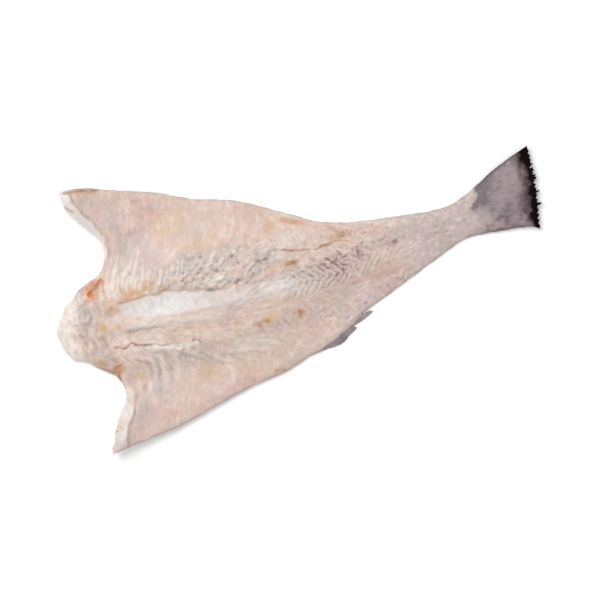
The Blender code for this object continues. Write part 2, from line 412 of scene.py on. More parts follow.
RIGHT_CRACK_DEEP = RIGHT_CRACK[2:8]
CRACK_END = [(152, -45), (161, -48), (163, -53)]
RIGHT_SEAM = [(163, -52), (185, -50), (200, -51), (222, -53), (240, -50), (262, -48), (290, -51)]
LUMPY_LIP = [(94, -38), (104, -40), (115, -41), (125, -46), (135, -50), (145, -51), (155, -53), (163, -57)]
LEFT_CRACK = [
    (277, 27), (281, 28.5), (287, 26), (295, 23.5), (303, 20.5), (311, 18.5), (320, 17), (331, 15.5),
    (342, 17), (352, 16.5), (362, 15.5), (374, 12.5),
]
NAPE_FOLDS = [
    [(25, 9), (33, 8), (42, 6), (50, 1)],
    [(24, -3), (30, -7), (34, -14), (33, -24)],
    [(40, 34), (43, 24), (41, 14)],
    [(52, 30), (57, 22), (58, 12)],
    [(40, -12), (45, -20), (44, -30)],
    [(50, -8), (55, -15), (58, -25)],
]
RIGHT_FLAP_FOLDS = [
    [(57, -34), (62, -40), (66, -48)],
    [(76, -38), (82, -46), (92, -53), (95, -66), (94, -84)],
    [(98, -40), (104, -50), (107, -62), (104, -80), (98, -100)],
    [(112, -42), (120, -52), (124, -64), (120, -78), (112, -95)],
    [(132, -52), (142, -62), (154, -70), (170, -78)],
    [(150, -60), (162, -68), (178, -77), (192, -83)],
    [(84, -72), (82, -88), (76, -102)],
    [(176, -62), (196, -72), (214, -80)],
]
FLAP_SIDE_PITS = [
    [(181, 26), (185, 27), (189, 26)],
    [(201, 28), (206, 26), (211, 25)],
    [(208, 7), (213, 6), (220, 6)],
    [(222, 6), (226, 3), (230, 7)],
    [(248, 16), (254, 20), (262, 19)],
    [(262, 21), (268, 21), (272, 20)],
    [(186, 8), (193, 5), (200, 1)],
]
CHEVRON_APEX = [(270, -16), (300, -18), (350, -18), (380, -12), (420, -4), (470, 0)]
CHEVRON_STRENGTH = [(262, 0), (290, 0.75), (315, 1), (355, 1), (385, 0.6), (430, 0.35), (500, 0)]
CHEVRON_PITCH = 8.8
CHEVRON_REACH = 16.0  # how far the chevrons' arms reach from their apexes
# How strongly painted shade darkens the grooves of the chevrons' upper arms, by s
CHEVRON_DARK = [(280, 0), (310, 0.8), (345, 1), (375, 0.7), (400, 0.35), (460, 0)]

COLLAR_WIDTHS = ((75, 2), (95, 4.5), (115, 7), (124, 9), (150, 10))  # of the left collar's white rim, by w
RIGHT_COLLAR_WIDTHS = ((65, 3), (85, 10), (110, 11), (128, 14), (140, 15))
FIN_ORIGIN = (411.0, -7.4)  # the tail fin's rays fan out from here
FIN_RAYS = 0.0165  # radians between two rays
TAIL_TIPS = ((593.0, -41.0), (607.0, 61.0))
FIN_START = [(-30, 528), (-15, 530), (-2, 530), (4, 521), (7, 517), (14, 525), (22, 531), (30, 532)]
FIN_FADE = [(-30, 80), (-10, 66), (1, 36), (6, 4), (30, 2.5)]  # over how much the flesh turns into fin
ANAL_FIN_ROOT = ((280, -107), (300, -99), (320, -92), (340, -83), (364, -72))

# Direction of the fibres, in degrees from the tail towards the left: (s, w, angle)
FIBRES = [
    (75, 35, 66), (100, 60, 74), (120, 40, 66), (140, 45, 56), (165, 45, 42), (110, 110, 82),
    (150, 110, 78), (200, 90, 70), (250, 75, 72), (190, 45, 28), (225, 40, 20), (200, 20, 14),
    (240, 20, 24), (262, 40, 18), (300, 45, -48), (330, 35, -30), (300, 62, -28), (350, 30, -14),
    (380, 20, -8), (430, 10, -4), (500, 5, 0), (500, -12, 2), (430, -25, 8), (400, -40, 12),
    (25, 30, 78), (20, 0, 84), (45, 0, 80), (48, -30, -62), (30, -30, -70), (120, 8, 80), (90, 10, 80),
    (100, -14, -8), (160, -30, -10), (220, -35, -14), (65, -42, -58), (85, -50, -60), (98, -75, -84),
    (80, -100, 68), (100, -115, 74), (125, -60, -62), (140, -110, 78), (160, -75, -42), (190, -75, -38),
    (180, -110, 64), (240, -75, -36), (245, -98, 62), (280, -75, -40), (320, -55, -42), (340, -60, -20),
    (375, -58, 14), (320, -85, 24), (340, -88, 26), (250, -20, 6), (230, 0, 30),
]
FIBRE_REACH = 15.0  # how far around its place each direction counts, in mm


def fibre_angle():
    """The fibres' angle at each place, in radians, between the stated ones."""
    double_cos, double_sin = np.zeros(S.shape), np.zeros(S.shape)
    for s, w, degrees in FIBRES:
        weight = 1 / (1 + ((S - s) ** 2 + (W - w) ** 2) / FIBRE_REACH**2) ** 2.5
        double_cos += weight * math.cos(math.radians(2 * degrees))
        double_sin += weight * math.sin(math.radians(2 * degrees))
    return np.arctan2(double_sin, double_cos) / 2 + 0.12 * noise(21, 6.0)


def between(base, top, soft_base, soft_top):
    """1 between two lines that run along the fish, fading over these widths."""
    s, w = wandering
    upper = np.interp(s, *zip(*top)) - w
    lower = w - np.interp(s, *zip(*base))
    return ramp(upper / soft_top + 0.5) * ramp(lower / soft_base + 0.5)


band = between(BAND_BASE, BAND_TOP, 6.0, 2.0) * station(BAND_WHITENESS)
left_width = np.interp(W, *zip(*COLLAR_WIDTHS))
right_width = np.interp(-W, *zip(*RIGHT_COLLAR_WIDTHS))
collar_width = np.where(W > 0, left_width, right_width) + 0.8 * noise(22, 3.0)
on_collar = ramp((np.abs(W - 5) - 68) / 10)
collar = ramp((collar_width - to_front) / 1.2 + 0.5) * on_collar
collar_lip = hump(to_front - collar_width, 1.8) * on_collar
nape = ramp((58 - S) / 16) * ramp((66 - np.abs(W)) / 12)
torn = stains(
    (210, 28, 62, 15, 4), (175, 38, 45, 12, 10), (255, 22, 35, 16), (215, 12, 45, 10, -4),
    (150, 25, 20, 6), (310, 0, 40, 14, -2, 0.6), (345, -5, 45, 16, 4, 0.6), (240, -5, 40, 12, 0, 0.5),
)
flaps = ramp((W - station([(60, 48), (160, 52), (250, 46), (330, 30)])) / 10) * ramp((360 - S) / 60)
flaps += ramp((station([(60, -62), (140, -72), (240, -92), (330, -80)]) - W) / 10) * ramp((330 - S) / 60)
fin_start = np.interp(wandering[1], *zip(*FIN_START))
tail_fin = ramp((wandering[0] - fin_start) / np.interp(wandering[1], *zip(*FIN_FADE)) + 0.5)
fin_root = np.interp(wandering[0], *zip(*ANAL_FIN_ROOT))
anal_fin = ramp((fin_root - wandering[1]) / 4.0) * ramp((S - 262) / 45)
fin = np.maximum(tail_fin, anal_fin)
rear_s = np.interp(W, *zip(*[(w, s) for s, w in TAIL_TIPS]))
from_rear = rear_s - S

# ---------------------------------------------------------------- relief of the cut side

angle = fibre_angle()
mottles = streaks(111, angle, 5, 0.9)
tints = rough(121, 2.0, 2)
long_fibres = streaks(31, angle, 16, 1.0)
fine_fibres = streaks(41, angle, 9, 0.55)
short_fibres = streaks(51, angle, 6, 0.9)
patchy = np.clip(0.6 + 0.5 * noise(97, 7), 0.05, 1.6)
crags = rough(61, 5.0, 2)
lumps = rough(71, 1.7, 2)
swells = noise(81, 11, 6, 20)


FINGERS_FROM, FINGERS_TO = 62.0, 205.0
FINGER_LEAN = [(62, 68), (130, 67), (160, 56), (205, 38)]  # their angle in degrees, by s
FRONT_STRANDS, FIRST_STRAND, STRAND_GAP = 9, 67, 4.0


def rib_fingers():
    """Pale tapering strips that lean up from the bed's left lip, where the ribs were cut off."""
    rng = random.Random(5)
    found = np.zeros(S.shape)
    s = FINGERS_FROM
    while s < FINGERS_TO:
        passed = (s - FINGERS_FROM) / (FINGERS_TO - FINGERS_FROM)
        lean = math.radians(np.interp(s, *zip(*FINGER_LEAN)) + rng.uniform(-4, 4))
        length = (34 - 12 * passed) * rng.uniform(0.65, 1.3)
        base = 22 + rng.uniform(-1, 5) + 8 * passed
        tip = (s + length * math.cos(lean), base + length * math.sin(lean))
        mid = (s + 0.5 * length * math.cos(lean + 0.05), base + 0.5 * length * math.sin(lean + 0.05))
        gap, share = near_line([(s, base), mid, tip], 12, swaying)
        wide = rng.uniform(1.6, 3.0) * (1 - share) ** 0.7 + 0.3
        ends = ramp((1 - share) * 5) * ramp(share * 6 + 0.3)
        found = np.maximum(found, hump(gap, wide) * ends)
        s += rng.uniform(5.5, 10.5)
    return found


def front_strands():
    """Long pale strands that run from the bed up the front of the left flap."""
    rng = random.Random(9)
    found = np.zeros(S.shape)
    for k in range(FRONT_STRANDS):
        start = FIRST_STRAND + STRAND_GAP * k + rng.uniform(-1, 1)
        reach = rng.uniform(36, 66)
        lean = rng.uniform(0.30, 0.42)
        places = [
            (start + lean * h + 0.0011 * h * h + rng.uniform(-0.6, 0.6), 20 + h)
            for h in np.linspace(0, reach, 5)
        ]
        found = np.maximum(found, stroke(places, rng.uniform(1.1, 2.1), 0.35, 0.2, swaying))
    return found


def chevrons():
    """(ridges from -1 to 1, reach of the pattern) of the V-shaped muscle layers that point to the tail."""
    from_apex = np.abs(W - station(CHEVRON_APEX) + 0.9 * noise(91, 5))
    upper = W > station(CHEVRON_APEX)
    phase = (S + from_apex + 0.8 * noise(92, 3)) / CHEVRON_PITCH
    tooth = phase % 1.0
    ridge = np.where(tooth < 0.72, tooth / 0.72, (1 - tooth) / 0.28) * 2 - 1
    which = 2 * np.clip(np.floor(phase), 0, 90).astype(int) + upper
    drawn = np.random.default_rng(96).uniform(0.65, 1.2, 200)[which]
    long = CHEVRON_REACH * np.random.default_rng(98).uniform(0.7, 1.25, 200)[which]
    shown = station(CHEVRON_STRENGTH) * drawn * ramp((long - from_apex) / 5 + 0.4)
    uneven = np.clip(1 + 0.4 * noise(93, 2.2), 0.1, 1.6)
    return filtered(ridge, 0.5, 0.5), filtered(shown, 1.0, 1.0) * uneven


fingers = np.maximum(rib_fingers(), front_strands())
finger_ground = stains((80, 45, 30, 17, 60, 1.0), (112, 36, 36, 13, 4, 1.0), (160, 40, 28, 11, 20, 0.6))
chevron, chevron_shown = chevrons()
bed_lip, _ = near_line(BED_LIP, 14)
lip_depth = station(LIP_DEPTH) * np.clip(1 + 0.5 * line_swell, 0.2, 2)
lip_line = hump(bed_lip, 1.3) * lip_depth
crack_right = stroke(RIGHT_CRACK, 1.1)
crack_deep = stroke(RIGHT_CRACK_DEEP, 1.15, 0.12)
broken = np.clip(1.15 + 0.9 * noise(94, 3.0), 0.15, 1)
crack_left = stroke(LEFT_CRACK, 0.95) * (1 - (1 - 0.8 * broken) * ramp((S - 325) / 20))
fissure = stroke(FISSURE, 2.0)
seam = stroke(RIGHT_SEAM, 2.2, 0.1)
lumpy_lip = stroke(LUMPY_LIP, 4.4, 0.12)
crack_end = stroke(CRACK_END, 1.0)
nape_folds = strokes(NAPE_FOLDS, 2.4, 0.3, 0.3, ground=swaying)
flap_folds = strokes(RIGHT_FLAP_FOLDS, 3.2, 0.4, 0.25, ground=swaying)
FOLD_WIDTH = 6.5  # from a fold's groove to its top
fold_tops = strokes(
    [[(s + FOLD_WIDTH, w + 1.0) for s, w in places] for places in RIGHT_FLAP_FOLDS],
    3.4, 0.4, 0.25, ground=swaying,
)
pits = strokes(FLAP_SIDE_PITS, 1.8, 0.3)
ridge_line, _ = near_line(RIDGE, 25)
ridge = hump(ridge_line, 5.5) * ramp((S - 50) / 20) * ramp((230 - S) / 60)
BAND_JOINTS = (88, 99, 110, 122, 134, 146, 158, 171, 184, 198, 212)
joints = np.max([hump(swaying[0] + 0.12 * W - s, 1.6) for s in BAND_JOINTS], axis=0)
joints *= band * np.clip(0.5 + 0.6 * noise(99, 5), 0, 1.2)

hatched = stains((300, 36, 30, 12, -14, 1.0), (232, -46, 26, 7, 0, 0.6), (318, 24, 20, 5, -12, 0.5))
hatches = hatched * np.cos(2 * math.pi * (swaying[0] + 0.25 * swaying[1] + noise(104, 3)) / 4.6)
speckled = stains(
    (352, -2, 46, 9, 0, 1.0), (350, 8, 40, 7, 0, 0.7), (412, -2, 20, 7, 0, 0.9), (330, -20, 60, 16, 4, 0.5),
    (400, -50, 40, 5, 16, 0.8), (450, 4, 60, 16, 0, 0.4), (205, 25, 60, 18, 3, 0.5), (270, 10, 30, 9, 0, 0.8),
    (300, -58, 40, 14, -8, 0.4), (40, 0, 18, 40, 0, 0.3), (390, 20, 50, 9, -6, 0.6),
) + 0.12
specks = speckled * ramp((rough(105, 0.8, 2) - 0.65) / 0.9)
calm = 1 - 0.85 * np.clip(band + collar, 0, 1)
body = 1 - fin
relief = (
    calm * body * (
        (0.15 - 0.10 * np.clip(flaps, 0, 1)) * patchy * (long_fibres + 0.8 * fine_fibres)
        + nape * (1.05 * crags + 0.32 * short_fibres)
        + torn * (0.19 * lumps + 0.20 * short_fibres)
        + (0.13 - 0.08 * np.clip(flaps, 0, 1)) * (short_fibres + lumps + mottles)
    )
)

# What stands out of the flesh or lies in it: its height in mm, and where it is
marks = {
    "swells": (0.45, swells * flaps),
    "chevrons": (0.55, body * chevron_shown * chevron),
    "fingers": (0.6, fingers * body),
    "ground between fingers": (-0.15, finger_ground * body),
    "bed lip": (-1.3, lip_line),
    "back of the lip": (0.9, lip_depth * hump(bed_lip - 3.2, 2.2)),
    "right crack": (-1.2, crack_right),
    "its deep part": (-1.0, crack_deep),
    "left crack": (-1.3, crack_left),
    "fissure": (-1.0, fissure),
    "seam": (-0.4, seam),
    "crack end": (-1.0, crack_end),
    "lumpy lip": (1.5, lumpy_lip),
    "its lumps": (0.8, lumpy_lip * lumps),
    "nape folds": (-1.1, nape_folds),
    "flap folds": (-0.9, flap_folds),
    "fold tops": (0.7, fold_tops),
    "pits": (-0.9, pits),
    "ridge": (0.8, ridge),
    "joints": (-0.15, joints),
    "hatches": (0.12, hatches),
    "specks": (-0.25, specks * body),
    "collar lip": (0.9, collar_lip),
    "groove behind it": (-0.9, hump(to_front - collar_width - 4, 2.0) * on_collar),
}
relief += sum(height * where for height, where in marks.values())
fin_angle = np.arctan2(W - FIN_ORIGIN[1], S - FIN_ORIGIN[0])
rays = np.cos(2 * math.pi * fin_angle / FIN_RAYS) * ramp((S - fin_start) / 30)
(root_s, root_w), (last_s, last_w) = ANAL_FIN_ROOT[0], ANAL_FIN_ROOT[-1]
root_angle = math.atan2(last_w - root_w, last_s - root_s) + 0.02
across_fin = (W - root_w) * math.cos(root_angle) - (S - root_s) * math.sin(root_angle)
ANAL_RAYS = 3.4  # between two rays of the anal fin
anal_rays = np.cos(2 * math.pi * across_fin / ANAL_RAYS + 0.5 * noise(95, 4))
relief += 0.12 * tail_fin * rays * ramp((S - fin_start) / 12) + 0.2 * anal_fin * anal_rays
relief += fin * 0.07 * long_fibres
relief -= 0.5 * hump(wandering[0] - fin_start, 1.8) * ramp((W - 4) / 3)

EDGE_CALM = 3.5  # the relief fades towards the outline over this many mm
LEAST_THICK = 0.8
faded = relief * (0.25 + 0.75 * ramp(to_edge / EDGE_CALM))
top = np.clip(cut_height + faded, skin_height + LEAST_THICK, HEIGHT - 0.05)
# How far each place lies below the relief around it; the shade paint and the tone darken these hollows as
# painted shade
cavity = np.clip(filtered(relief, 2.4, 2.4) - relief, 0, 3) / 1.2

# ---------------------------------------------------------------- paints of the cut side

drift = noise(101, 12)
drift_too = noise(102, 9)
by_side = 1 - ramp((8 - to_front) / 4)  # 0 along the cut front
stalk = ramp((S - 400) / 70) * body
# The chevrons' grooves, which the shade paint darkens as painted shade
groove = (1 - chevron) / 2 * chevron_shown
upper_arms = ramp((W - station(CHEVRON_APEX) + 7) / 5)
black_width = 6.0 + 1.2 * drift_too + 1.6 * line_swell + 3.5 * hump(W + 22, 9)
black_width += 6 * ramp((W - 30) / 18)
rear_edge = ramp((black_width - from_rear) / 12 + 0.5) * ramp((S - 555) / 10)
fringe_width = 22 - 12 * ramp((-12 - W) / 8)
fringe = ramp((black_width + fringe_width - from_rear) / (fringe_width + 3)) * ramp((S - 550) / 12)
# Painted shade on the upper tail fin, just behind where the flesh ends
painted_shade_wedge = tail_fin * ramp((W - 4) / 4) * ramp((556 - S) / 24)

paint = {
    "grey": 0.50 * nape * ramp((S - 22) / 14)
    + 0.45 * torn + stains((196, 42, 50, 7, 6, 0.65))
    + 0.75 * stalk + 0.5 * collar * ramp(stain_edge)
    + 0.10 * ramp((S - 300) / 60) * ramp((-32 - W) / 14)
    + 0.28 * ramp(-mottles - 0.2) * (1 - 0.5 * np.clip(flaps, 0, 1))
    # painted shade on the sunken ground between the fingers
    + 0.35 * finger_ground * (1 - fingers)
    + stains((105, -62, 30, 22, -70, 0.5), (150, -66, 34, 8, -20, 0.3), (190, 48, 50, 9, 8, 0.35))
    + 0.12 * drift_too,
    "lilac": stains(
        (112, 85, 34, 24, 80, 0.7), (100, 120, 18, 22, 0, 0.55), (140, 60, 26, 12, 30, 0.5),
        (104, -84, 26, 12, 80, 0.65), (76, -118, 22, 10, 70, 0.5), (60, -12, 16, 10, 0, 0.35),
        (300, -12, 42, 15, 0, 0.8), (345, -15, 40, 14, 4, 0.6), (365, -64, 45, 8, 18, 0.75),
        (430, 0, 60, 14, 0, 0.3), (240, -14, 40, 9, -6, 0.5), (115, 2, 8, 5, 0, 0.6),
    ) + 0.10 * drift + 0.55 * stalk,
    "pink": stains(
        (140, 134, 16, 6, -15, 0.8), (146, 118, 14, 10, -30, 0.6), (128, 108, 12, 14, 0, 0.3),
        (108, -124, 22, 9, 10, 0.55), (90, -112, 14, 10, 60, 0.35), (140, -118, 26, 12, 8, 0.35),
        (196, -112, 30, 8, 14, 0.55), (262, 78, 24, 12, -40, 0.35), (266, 4, 11, 3.5, 5, 0.9),
        (398, -36, 34, 9, -4, 0.55), (400, -53, 14, 4, 18, 0.5), (372, 0, 10, 9, 0, 0.35),
        (205, -40, 30, 7, -5, 0.35), (157, -30, 12, 5, 0, 0.35), (345, 40, 24, 6, -28, 0.35),
        (232, 62, 26, 14, -10, 0.3), (392, 20, 24, 8, -6, 0.3), (240, -56, 8, 5, 0, 0.5),
        (60, -38, 12, 8, -50, 0.45), (66, -72, 8, 10, 80, 0.4), (300, -72, 30, 9, -20, 0.35),
        (560, -22, 28, 8, -6, 0.6),
    ) + 0.22 * ramp((tints - 0.2) / 1.6),
    "tan": np.clip(0.85 + 0.3 * mottles, 0.2, 1.2) * (1 - 0.75 * fingers) * stains(
        (100, 30, 24, 9, 0, 0.75), (124, 32, 7, 8, 60, 0.7), (73, 16, 9, 6, 0, 0.3), (90, 24, 12, 4, 0, 0.5),
        (62, 47, 16, 11, 38, 0.95), (60, -52, 9, 9, 20, 0.75), (42, -42, 14, 5, -40, 0.6),
        (56, -1, 8, 5, -30, 0.5), (291, 8, 12, 6, 0, 1.0), (278, 9, 14, 4, 0, 0.5),
        (248, -48, 11, 4.5, 0, 0.6), (288, -52, 8, 5, 0, 0.5), (282, 58, 10, 8, 0, 0.35),
        (243, -109, 12, 4, -18, 0.5), (142, 24, 10, 6, 0, 0.45), (164, 28, 6, 8, 0, 0.4),
        (310, 55, 14, 4, -30, 0.5), (360, 22, 18, 6, -8, 0.6), (80, 162, 18, 4, -12, 0.7),
    ) + 0.5 * lip_line,
    "yellow": stains(
        (108, 30, 24, 9, 0, 0.75), (124, 33, 7, 8, 60, 0.5), (74, 17, 8, 5, 0, 0.5),
        (57, -3, 9, 6, -30, 0.85), (68, -4, 9, 4, -20, 0.5), (40, -38, 10, 5, -50, 0.5),
        (156, 92, 9, 18, -10, 0.55), (176, 100, 18, 20, 0, 0.35), (195, 62, 24, 10, 0, 0.35),
        (203, -3, 7, 5, 0, 0.45), (282, 58, 11, 9, 0, 0.75), (291, 8, 9, 5, 0, 1.0),
        (276, 8, 14, 4, 0, 0.6), (357, 25, 14, 5, -8, 0.6), (247, -49, 11, 4.5, 0, 0.9),
        (259, -45, 8, 7, 30, 0.7), (83, -70, 6, 7, 0, 0.55), (168, -92, 20, 13, 0, 0.4),
        (215, -95, 30, 12, 10, 0.3), (150, -33, 24, 6, -8, 0.3), (62, -50, 8, 10, 60, 0.4),
        (72, 26, 5, 10, 70, 0.5), (272, -28, 26, 7, 0, 0.3), (300, -30, 20, 6, 0, 0.2),
    ) + 0.35 * seam * ramp(lumps + 0.5) + 0.16 * ramp((-tints - 0.4) / 1.4)
    + 0.55 * hump(crack_left - 0.35, 0.3) * (crack_left > 0.02),
    # Pale flesh of the fingers, ridge, nape, lumpy lip, collars, fibres, mottles and stains, and painted
    # highlight on the hatches' crests, the fold tops, the chevrons' ridges and the tops of the torn zone's
    # lumps
    "pale": np.max([
        0.65 * fingers, 0.55 * ridge * ramp((S - 75) / 20), 0.25 * ramp(hatches),
        0.85 * nape * ramp((34 - S + 4 * drift_too) / 14) * np.clip(0.95 + 0.2 * stain_edge, 0, 1),
        0.9 * lumpy_lip,
        stains(
            (283, 20, 13, 6, -8, 0.6), (296, 36, 15, 9, -10, 0.45), (200, 17, 15, 6, 0, 0.7),
            (178, 17, 10, 5, 10, 0.4), (310, -22, 26, 9, 0, 0.25), (312, 34, 8, 10, 0, 0.3),
            (50, 30, 7, 6, 0, 0.5), (24, 34, 8, 6, 0, 0.4), (270, -18, 20, 8, 0, 0.3),
        ),
        0.30 * ramp((long_fibres - 0.6) * patchy) * body, 0.40 * fold_tops,
        0.45 * ramp(chevron) * chevron_shown,
        0.45 * ramp((lumps - 0.2) / 1.6) * torn,
        0.30 * ramp((mottles - 0.1) / 1.6) * body * (1 - 0.4 * np.clip(flaps, 0, 1)),
        (0.3 + 0.2 * stain_edge + 0.75 * (W > 0)) * collar,
        stains((207, 14, 24, 7, -6, 0.8), (220, -70, 30, 9, -12, 0.45)),
    ], axis=0),
    "white": np.maximum(
        0.9 * band * np.clip(1 - 0.3 * joints + 0.15 * drift_too, 0, 1),
        collar * (0.1 + 0.4 * (W > 0) + 0.12 * drift_too + 0.1 * tints) * ramp((np.abs(W) - 80) / 22),
    )
    + stains((292, -14, 40, 13, 0, 0.35), (255, -12, 30, 9, 0, 0.25)) * ramp(0.6 + 0.6 * mottles),
    # Painted shade in the hollows, the chevrons' grooves, the hatches' troughs, between the torn zone's
    # lumps, in the pits, the fissure and the folds, and just inside the collars' white rims; also the real
    # dark specks, joint lines and small dark stains
    "shade": 0.22 * ramp(cavity) * body * (1 - 0.6 * nape) + 0.8 * specks * body + 0.12 * ramp(-hatches)
    + 0.5 * groove * upper_arms * station(CHEVRON_DARK) * np.clip(0.8 + 0.3 * lumps, 0, 1.3)
    + 0.25 * groove + 0.25 * ramp((-lumps - 0.9) / 1.2) * torn + 0.45 * pits + 0.30 * fissure
    + 0.15 * flap_folds + 0.25 * nape_folds + 0.10 * joints
    + 0.16 * hump(to_front - collar_width - 2.5, 2.0) * on_collar
    + 0.5 * stains(
        (372, -8, 8, 4, 0, 0.9), (368, 0, 7, 3, 0, 0.7), (340, -3, 26, 5, 0, 0.5), (415, -2, 16, 3, 0, 0.6),
    ) * np.clip(0.5 + 0.9 * tints, 0, 1.6),
    "orange": stains(
        (53, 41, 5.4, 4.6, 20, 1.4), (56, 52, 14, 4, 26, 0.45), (68, 52, 8, 5.0, 36, 0.35),
        (52, 38, 10, 7, 30, 0.42), (64, -28, 4, 2.2, -20, 0.5), (57, -54, 6, 5, 30, 0.36),
        (57, -62, 3, 4, 0, 0.45), (34, -45, 8, 1.8, -35, 0.5), (288, -51, 5.0, 3.5, -30, 0.35),
        (288, -57, 4, 3, -30, 0.25), (243, -111, 8, 2.2, -18, 0.45), (58, 146, 6, 1.8, -50, 0.5),
        (35, -124, 3.2, 1.8, 0, 0.7), (42, -122, 2, 5, 25, 0.2), (316, 53, 7, 2.0, -30, 0.3),
        (305, 57, 11, 2.0, -30, 0.2), (72, 20, 3, 3, 0, 0.2),
    ) + 0.30 * crack_left + 0.12 * crack_right,
    "brown": np.max([
        0.42 * crack_deep, 0.25 * crack_right, 0.5 * crack_left, 0.5 * crack_end, 0.35 * lip_line,
        stains(
            (75, 165, 20, 3.0, -10, 0.55), (95, 160, 10, 2.2, -14, 0.45), (54, 45, 5, 1.6, 35, 0.5),
            (62, 50, 12, 3.0, 40, 0.5), (60, -50, 7, 1.6, 10, 0.6), (57, -63, 2, 5, 0, 0.6),
            (44, -50, 14, 1.8, -36, 0.45), (45, 54, 22, 1.5, 27, 0.55),
            (420, -3, 5, 3.5, 15, 0.55), (416, -6, 3, 2, 0, 0.4), (237, -50, 4, 4, 0, 0.45),
            (247, -50, 4, 2.4, 0, 0.3), (132, 135, 4, 1.6, 0, 0.4), (56, 30, 3, 2, 30, 0.4),
            (287, -50, 3, 2, 0, 0.2), (34, -124, 2, 1.2, 0, 0.5), (556, -22, 22, 6, -8, 0.40),
            (257, 22, 3, 2, 20, 0.3), (293, 7, 8, 4, 0, 0.45), (74, 14, 8, 4, 0, 0.13),
            (360, 23, 13, 4, -6, 0.25),
        ),
    ], axis=0),
    "fin": fin,
    # Darker fin colour along the rays, the edges and in blotches, and painted shade on the upper tail fin
    # just behind the flesh
    "dusk": fin * np.clip(
        0.12 + painted_shade_wedge + 0.06 * rays + 0.35 * ramp(rays) * ramp((62 - from_rear) / 40)
        + 0.22 * drift_too + 0.25 * ramp(stain_edge - 0.5) + 0.2 * tints
        + 0.15 * anal_fin * ramp(0.9 - to_edge / 16) + (1.1 - 0.7 * anal_fin) * hump(to_edge, 3.8)
        - 0.12 * anal_fin, 0, 1
    ),
    "rust": np.maximum(
        stains(
            (560, -18, 22, 9, -8, 0.6), (584, -20, 16, 10, -10, 0.2), (545, -26, 16, 3, -5, 0.5),
            (566, -8, 14, 5, -20, 0.3), (588, 45, 10, 10, 50, 0.3), (590, -12, 8, 8, 0, 0.7),
        ) * np.clip(0.45 + 0.30 * tints + 0.35 * mottles + 0.2 * fine_fibres, 0, 1),
        0.85 * fringe * np.clip(0.9 + 0.15 * stain_edge + 0.15 * rays, 0, 1),
    ) + stains((557, 22, 3, 2, 20, 0.3), (570, 17, 4, 1.5, 10, 0.2), (576, 34, 3, 1.5, 0, 0.2)),
    "black": np.max([
        1.35 * rear_edge, 0.7 * fringe**1.5, 0.45 * tail_fin * hump(to_edge, 1.8),
    ], axis=0),
    "rind": by_side * body * hump(to_edge, 1.1 + 0.4 * line_swell) * 0.4,
    # Brightness that varies with the fibres, the lumps, the anal fin's rays and at random, and painted shade
    # that darkens the hollows (- 0.6 * cavity)
    "tone_and_hollow_shade": patchy * (0.35 * long_fibres + 0.3 * fine_fibres) * (1 - 0.5 * np.clip(flaps, 0, 1))
    + 0.5 * (0.5 * short_fibres + lumps) * (0.25 + torn) + 0.6 * drift + 0.7 * noise(103, 2.2)
    - 0.6 * cavity + 0.5 * anal_fin * anal_rays,
}

# ---------------------------------------------------------------- the skin side

BACK_REACH = [(0, 66), (100, 62), (250, 48), (400, 24), (500, 15), (620, 30)]
BACK_FADE = 46.0  # over how much the dark back turns into the pale belly
LATERAL_LINE = [(0, 44), (120, 42), (250, 30), (380, 15), (500, 7)]
middle_w = station([(0, 0), (300, -2), (420, -4), (620, 0)])
from_back = np.abs(W - middle_w)
back_edge = station(BACK_REACH) + 3.0 * noise(106, 20) + 2.5 * rough(107, 5)
back = ramp((back_edge - from_back) / BACK_FADE + 0.5)
lateral = hump(from_back - station(LATERAL_LINE) - 1.2 * drift_too, 1.6) * ramp((500 - S) / 40)
skin_paint = {
    "back": np.clip(back + fin, 0, 1),
    "lateral": lateral,
}


# ---------------------------------------------------------------- the mesh

def places_inside(step):
    """Places on a triangular grid, on the fish and clear of its outline."""
    row_gap = step * math.sqrt(3) / 2
    s, w = np.meshgrid(np.arange(0, LENGTH, step), np.arange(-RIGHT_REACH, WIDTH - RIGHT_REACH, row_gap))
    s = s + (np.arange(s.shape[0]) % 2)[:, None] * step / 2
    s, w = s.ravel(), w.ravel()
    kept = (look(on_fish.astype(float), s, w) > 0.999) & (look(to_edge, s, w) > 0.62 * step)
    return np.column_stack([s, w])[kept]


def sheet(step):
    """(places, triangles) of a flat sheet inside the outline, whose points come first."""
    places = np.vstack([rim[:, :2], places_inside(step)])
    ring = [(i, (i + 1) % len(rim)) for i in range(len(rim))]
    inside_only = 1
    found = delaunay_2d_cdt([Vector(p) for p in places], ring, [], inside_only, 1e-6)
    triangles = np.array([face[:] for face in found[2]])
    a, b, c = (np.array([v[:] for v in found[0]])[triangles[:, k]] for k in range(3))
    turned = (b[:, 0] - a[:, 0]) * (c[:, 1] - a[:, 1]) < (b[:, 1] - a[:, 1]) * (c[:, 0] - a[:, 0])
    triangles[turned] = triangles[turned][:, ::-1]
    return np.array([v[:] for v in found[0]]), triangles


def world(s, w, height):
    """Places and heights as points of the frame, in metres."""
    return np.column_stack([LOW.x + s * MM, LOW.y + (w + RIGHT_REACH) * MM, LOW.z + height * MM])


UV_EDGE = 3.0  # the wall along the outline takes up this much of the map, in mm


def add_map(mesh, places, cut_count, wall_from):
    """A texture map with the cut side and the wall in its upper half and the skin in its lower half."""
    scale = 0.49 / (WIDTH + 2 * UV_EDGE + 2)
    corners = np.empty(len(mesh.loops), np.int32)
    mesh.loops.foreach_get("vertex_index", corners)
    uv = (places[corners] + (UV_EDGE + 1, RIGHT_REACH + UV_EDGE + 1)) * scale
    loops = np.arange(len(corners))
    on_skin = corners >= cut_count
    on_wall = loops >= wall_from
    uv[on_wall & on_skin] += (outward(rim) * UV_EDGE * scale)[corners[on_wall & on_skin] - cut_count]
    uv[~on_skin | on_wall, 1] += 0.5
    mesh.uv_layers.new(name="OFBake").data.foreach_set("uv", uv.astype(np.float32).ravel())


